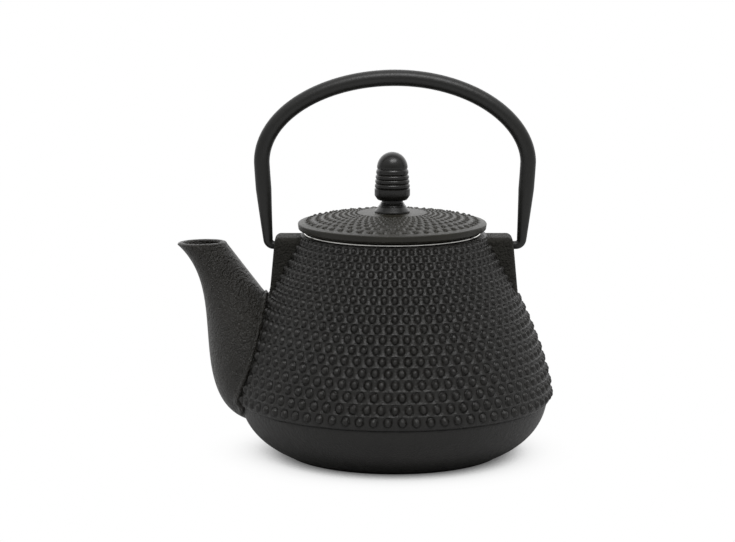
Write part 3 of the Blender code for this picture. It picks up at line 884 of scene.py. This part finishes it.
def make_washer(steel):
    """Washer with bevelled edges."""
    low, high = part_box("knob_washer")
    bottom, top = low[2], high[2]
    outline = [
        (WASHER_RADIUS - WASHER_EDGE, top), (WASHER_RADIUS, top - WASHER_EDGE),
        (WASHER_RADIUS, bottom + WASHER_EDGE), (WASHER_RADIUS - WASHER_EDGE, bottom),
        (SCREW_HOLE_RADIUS + WASHER_EDGE, bottom), (SCREW_HOLE_RADIUS, bottom + WASHER_EDGE),
        (SCREW_HOLE_RADIUS, top),
    ]
    disc = turned("washer_disc", outline, steel, 64)
    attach(disc, "lid")
    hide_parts("knob_washer")


def make_screw(steel):
    """Pan-head screw, head down, with grooves for its thread and a cross recess."""
    low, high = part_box("knob_screw")
    bottom, top = low[2], high[2]
    head_top = bottom + SCREW_HEAD_HEIGHT
    outline = [(0.0, top), (SCREW_RADIUS - SCREW_TIP_EDGE, top), (SCREW_RADIUS, top - SCREW_TIP_EDGE)]
    pitch = (top - SCREW_TIP - SCREW_RUNOUT - head_top) / SCREW_THREADS
    for turn in range(SCREW_THREADS):
        crest = top - SCREW_TIP - turn * pitch
        outline += [(SCREW_RADIUS, crest), (SCREW_RADIUS - SCREW_THREAD_DEPTH, crest - pitch / 2)]
    outline += [(SCREW_RADIUS, head_top)]
    outline += quarter_round((SCREW_HEAD_RADIUS, head_top - SCREW_HEAD_SLOPE), (0.0, bottom), True, 10)
    screw = turned("screw_body", outline, steel, 48)
    half_sizes = (RECESS_HALF_LENGTH, RECESS_HALF_WIDTH)
    for half_x, half_y in (half_sizes, half_sizes[::-1]):
        slot = bmesh.new()
        bmesh.ops.create_cube(slot, size=1.0)
        for vertex in slot.verts:
            x = LID_CENTRE_X + math.copysign(half_x, vertex.co.x)
            z = bottom - CUT_CLEARANCE if vertex.co.z < 0 else bottom + RECESS_DEPTH
            vertex.co = (x, math.copysign(half_y, vertex.co.y), z)
        carve(screw, add_object("slot", slot, None))
    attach(screw, "lid")
    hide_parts("knob_screw")


def make_infuser_rim(steel):
    """Rolled flange that lies on the pot's mouth, and the collar below it with one bead."""
    edge = (FLANGE_TOP - FLANGE_BOTTOM) / 2
    steps = 8
    rim = [(COLLAR_INNER_RADIUS + FLANGE_EDGE, FLANGE_TOP)]
    for step in range(steps + 1):
        angle = math.pi / 2 - math.pi * step / steps
        rolled_height = FLANGE_BOTTOM + edge + edge * math.sin(angle)
        rim.append((FLANGE_RADIUS - edge + edge * math.cos(angle), rolled_height))
    rim += [(COLLAR_OUTER_RADIUS, FLANGE_BOTTOM)]
    bead_foot = COLLAR_OUTER_RADIUS - COLLAR_BEAD_HEIGHT
    bead_top, bead_bottom = COLLAR_BEAD
    rim += bulge((bead_foot, bead_top), (bead_foot, bead_bottom), COLLAR_BEAD_HEIGHT, 6)
    rim += [(COLLAR_OUTER_RADIUS, COLLAR_BOTTOM), (COLLAR_INNER_RADIUS, COLLAR_BOTTOM)]
    rim += [(COLLAR_INNER_RADIUS, FLANGE_TOP - FLANGE_EDGE)]
    flange = turned("infuser_flange", rim, steel, 192)
    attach(flange, "infuser")
    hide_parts("infuser_rim")


def make_infuser_base_ring(steel):
    """Band that holds the wall, with a lip under the floor."""
    low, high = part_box("infuser_base_ring")
    bottom, top = low[2], high[2]
    band = [(BASE_RING_OUTER_RADIUS, top)]
    round_start = (BASE_RING_OUTER_RADIUS, bottom + BASE_RING_ROUND)
    band += quarter_round(round_start, (BASE_RING_OUTER_RADIUS - BASE_RING_ROUND, bottom), True, 4)
    lip_top = bottom + BASE_RING_SHEET
    band += [(BASE_RING_LIP_RADIUS, bottom), (BASE_RING_LIP_RADIUS, lip_top)]
    band += [(BASE_RING_INNER_RADIUS, lip_top), (BASE_RING_INNER_RADIUS, top)]
    ring = turned("infuser_band", band, steel, 144)
    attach(ring, "infuser")
    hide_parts("infuser_base_ring")


def make_infuser_mesh(mesh_steel):
    wall = woven_wall(mesh_steel)
    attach(wall, "infuser")
    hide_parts("infuser_mesh_wall")
    floor = woven_floor(mesh_steel)
    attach(floor, "infuser")
    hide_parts("infuser_mesh_floor")


class WireBundle:
    """Collects square-section wires as plain lists, which is quick for thousands of them."""

    def __init__(self):
        self.places = []
        self.faces = []

    def add(self, path, outward, closed):
        """Wire along path; outward gives the direction away from the sheet at each point."""
        first = len(self.places)
        count = len(path)
        for index, place in enumerate(path):
            if closed:
                along = path[(index + 1) % count] - path[index - 1]
            else:
                along = path[min(index + 1, count - 1)] - path[max(index - 1, 0)]
            up = outward[index] * WIRE_RADIUS
            side = along.cross(outward[index]).normalized() * WIRE_RADIUS
            self.places += [place + up, place + side, place - up, place - side]
        spans = count if closed else count - 1
        for index in range(spans):
            here, there = first + 4 * index, first + 4 * ((index + 1) % count)
            for corner in range(4):
                after = (corner + 1) % 4
                self.faces.append((here + corner, here + after, there + after, there + corner))
        if not closed:
            last = first + 4 * (count - 1)
            self.faces += [(first, first + 3, first + 2, first + 1), (last, last + 1, last + 2, last + 3)]

    def finish(self, name, material):
        mesh = bpy.data.meshes.new(name)
        mesh.from_pydata([tuple(place) for place in self.places], [], self.faces)
        mesh.shade_smooth()
        mesh.materials.append(material)
        piece = bpy.data.objects.new(name, mesh)
        bpy.context.scene.collection.objects.link(piece)
        return piece


def woven_wall(material):
    """Plain weave of wires standing round the basket and wires running round it."""
    bundle = WireBundle()
    columns = 2 * round(math.pi * MESH_RADIUS / WIRE_PITCH)
    rows = round((MESH_TOP - MESH_BOTTOM) / WIRE_PITCH)
    angles = [2 * math.pi * column / columns for column in range(columns)]
    outwards = [Vector((math.cos(angle), math.sin(angle), 0.0)) for angle in angles]
    centre = Vector((LID_CENTRE_X, 0.0, 0.0))
    heights = [MESH_BOTTOM + (MESH_TOP - MESH_BOTTOM) * row / rows for row in range(rows + 1)]
    for column, outward in enumerate(outwards):
        path = []
        for row, height in enumerate(heights):
            weave = WIRE_RADIUS * (1 if (row + column) % 2 else -1)
            path.append(centre + outward * (MESH_RADIUS + weave) + Vector((0.0, 0.0, height)))
        bundle.add(path, [outward] * len(path), closed=False)
    for row, height in enumerate(heights[1:-1], start=1):
        path = []
        for column, outward in enumerate(outwards):
            weave = -WIRE_RADIUS * (1 if (row + column) % 2 else -1)
            path.append(centre + outward * (MESH_RADIUS + weave) + Vector((0.0, 0.0, height)))
        bundle.add(path, outwards, closed=True)
    return bundle.finish("woven_wall", material)


def woven_floor(material):
    """Disc of plain weave that rests on the lip of the base band."""
    bundle = WireBundle()
    low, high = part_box("infuser_mesh_floor")
    radius = (high[0] - low[0]) / 2 - WIRE_RADIUS
    middle = (low[2] + high[2]) / 2
    count = int(radius / FLOOR_PITCH)
    upward = Vector((0.0, 0.0, 1.0))
    for crossing in (False, True):
        for line in range(-count, count + 1):
            reach = int(math.sqrt(radius ** 2 - (line * FLOOR_PITCH) ** 2) / FLOOR_PITCH)
            path = []
            for station in range(-reach, reach + 1):
                over = 1 if (line + station + crossing) % 2 else -1
                x, y = (station, line) if crossing else (line, station)
                height = middle + over * WIRE_RADIUS
                path.append(Vector((LID_CENTRE_X + x * FLOOR_PITCH, y * FLOOR_PITCH, height)))
            if len(path) > 1:
                bundle.add(path, [upward] * len(path), closed=False)
    return bundle.finish("woven_floor", material)


# ---------------------------------------------------------------- studio

def make_camera():
    data = bpy.data.cameras.new("camera")
    data.lens = CAMERA_LENS
    data.sensor_width = 36.0
    data.clip_end = 20.0
    camera = bpy.data.objects.new("camera", data)
    back = Vector((0.0, -math.cos(CAMERA_ELEVATION), math.sin(CAMERA_ELEVATION)))
    camera.location = CAMERA_AIM + back * CAMERA_DISTANCE
    camera.rotation_euler = (-back).to_track_quat("-Z", "Y").to_euler()
    bpy.context.scene.collection.objects.link(camera)
    bpy.context.scene.camera = camera


def make_key_light():
    """Wide soft light above and behind the camera."""
    data = bpy.data.lights.new("key", "AREA")
    data.shape = "RECTANGLE"
    data.size, data.size_y = KEY_SIZE
    data.energy = KEY_POWER
    light = bpy.data.objects.new("key", data)
    direction = Vector((KEY_SIDE, -math.cos(KEY_ELEVATION), math.sin(KEY_ELEVATION)))
    light.location = POT_MIDDLE + direction * KEY_DISTANCE
    light.rotation_euler = (POT_MIDDLE - light.location).to_track_quat("-Z", "Y").to_euler()
    bpy.context.scene.collection.objects.link(light)


def make_floor():
    """Pale floor. Camera rays see white emission with a painted contact shadow from ambient occlusion; other
    rays see pale diffuse.
    """
    bm = bmesh.new()
    bmesh.ops.create_grid(bm, x_segments=1, y_segments=1, size=FLOOR_SIZE)
    floor = add_object("floor", bm, None)
    floor.location.z = CAD_BOX[0][2]
    material = bpy.data.materials.new("pale_floor")
    material.use_nodes = True
    nodes, links = material.node_tree.nodes, material.node_tree.links
    nodes.remove(nodes["Principled BSDF"])
    pale = nodes.new("ShaderNodeBsdfDiffuse")
    pale.inputs["Color"].default_value = (FLOOR_WHITE, FLOOR_WHITE, FLOOR_WHITE, 1.0)
    occlusion = nodes.new("ShaderNodeAmbientOcclusion")
    occlusion.samples = 16
    occlusion.inputs["Distance"].default_value = SHADOW_REACH
    stops = [(openness, (white, white, white)) for openness, white in SHADOW_STOPS]
    # painted contact shadow: the white emission that camera rays see is darkened where ambient occlusion
    # finds the pot
    white_with_painted_shadow = nodes.new("ShaderNodeEmission")
    links.new(add_ramp(nodes, links, occlusion.outputs["AO"], stops), white_with_painted_shadow.inputs["Color"])
    rays = nodes.new("ShaderNodeLightPath")
    mix = nodes.new("ShaderNodeMixShader")
    links.new(rays.outputs["Is Camera Ray"], mix.inputs["Fac"])
    links.new(pale.outputs["BSDF"], mix.inputs[1])
    links.new(white_with_painted_shadow.outputs["Emission"], mix.inputs[2])
    links.new(mix.outputs["Shader"], nodes["Material Output"].inputs["Surface"])
    floor.data.materials.append(material)


def make_world():
    """Soft surround, dim behind the camera and bright behind the pot. The camera itself sees plain white."""
    world = bpy.data.worlds.new("studio")
    bpy.context.scene.world = world
    world.use_nodes = True
    nodes, links = world.node_tree.nodes, world.node_tree.links
    background = nodes["Background"]
    coordinates = nodes.new("ShaderNodeTexCoord")
    split = nodes.new("ShaderNodeSeparateXYZ")
    links.new(coordinates.outputs["Generated"], split.inputs["Vector"])
    along = add_range(nodes, links, split.outputs["Y"], 0.0, 1.0, -1.0, 1.0)
    stops = [(share, (level, level, level)) for share, level in SURROUND_FRONT_TO_BACK]
    depth = add_ramp(nodes, links, along, stops)
    height = add_range(nodes, links, split.outputs["Z"], *SURROUND_LEVEL_TO_TOP, 0.0, SURROUND_TOP)
    total = nodes.new("ShaderNodeMath")
    total.operation = "MULTIPLY_ADD"
    total.inputs[1].default_value = SURROUND_STRENGTH
    links.new(depth, total.inputs[0])
    links.new(height, total.inputs[2])
    background.inputs["Color"].default_value = (1.0, 1.0, 1.0, 1.0)
    links.new(total.outputs["Value"], background.inputs["Strength"])
    white = nodes.new("ShaderNodeBackground")
    white.inputs["Color"].default_value = (1.0, 1.0, 1.0, 1.0)
    white.inputs["Strength"].default_value = 1.0
    rays = nodes.new("ShaderNodeLightPath")
    mix = nodes.new("ShaderNodeMixShader")
    links.new(rays.outputs["Is Camera Ray"], mix.inputs["Fac"])
    links.new(background.outputs["Background"], mix.inputs[1])
    links.new(white.outputs["Background"], mix.inputs[2])
    links.new(mix.outputs["Shader"], nodes["World Output"].inputs["Surface"])


def make_studio():
    make_camera()
    make_floor()
    make_world()
    make_key_light()
    bpy.context.scene.view_settings.view_transform = "Standard"


# ---------------------------------------------------------------- build

def make_irons():
    """One black iron for each kind of surface, by the name of what it covers."""
    looks = {
        "pot": dict(
            color=(0.0068, 0.0061, 0.0050), roughness=0.38, grain_size=0.0009, grain_depth=0.00040,
            specular=0.48, grazing_specular=0.25,
        ),
        "spout": dict(color=(0.0085, 0.0070, 0.0040), roughness=0.33, grain_size=0.0011, grain_depth=0.00170),
        "lug": dict(
            color=(0.0185, 0.0178, 0.0150), roughness=0.60, grain_size=0.0012, grain_depth=0.00150,
            specular=0.13,
        ),
        "lid": dict(
            color=(0.0112, 0.0098, 0.0054), roughness=0.44, grain_size=0.0010, grain_depth=0.00018,
            specular=0.44,
        ),
        "handle": dict(
            color=(0.0060, 0.0060, 0.0050), roughness=0.40, grain_size=0.0012, grain_depth=0.00008,
        ),
        "knob": dict(color=(0.0060, 0.0058, 0.0050), roughness=0.28, grain_size=0.0012, grain_depth=0.00004),
    }
    return {name: iron_material(name + "_iron", **look) for name, look in looks.items()}


def coat_lining(enamel):
    """Gives the CAD lining its enamel, since nothing stands in for its plain shape."""
    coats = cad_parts["enamel_lining"].data.materials
    coats.clear()
    coats.append(enamel)


def main():
    make_studio()
    irons = make_irons()
    enamel = enamel_material()
    steel = steel_material("rim_steel", (0.95, 0.94, 0.90), 0.16)
    mesh_steel = steel_material("mesh_steel", (0.55, 0.55, 0.54), 0.35)

    make_pot(irons["pot"])
    make_spout(irons["spout"])
    make_lug("lug_left", "lug_spout_side", -1, irons["lug"])
    make_lug("lug_right", "lug_rear_side", 1, irons["lug"])
    make_bail(irons["handle"])
    make_lid(irons["lid"])
    make_knob_head(irons["knob"])
    make_pedestal(irons["knob"])
    make_washer(steel)
    make_screw(steel)
    make_infuser_rim(steel)
    make_infuser_base_ring(steel)
    make_infuser_mesh(mesh_steel)
    coat_lining(enamel)


main()
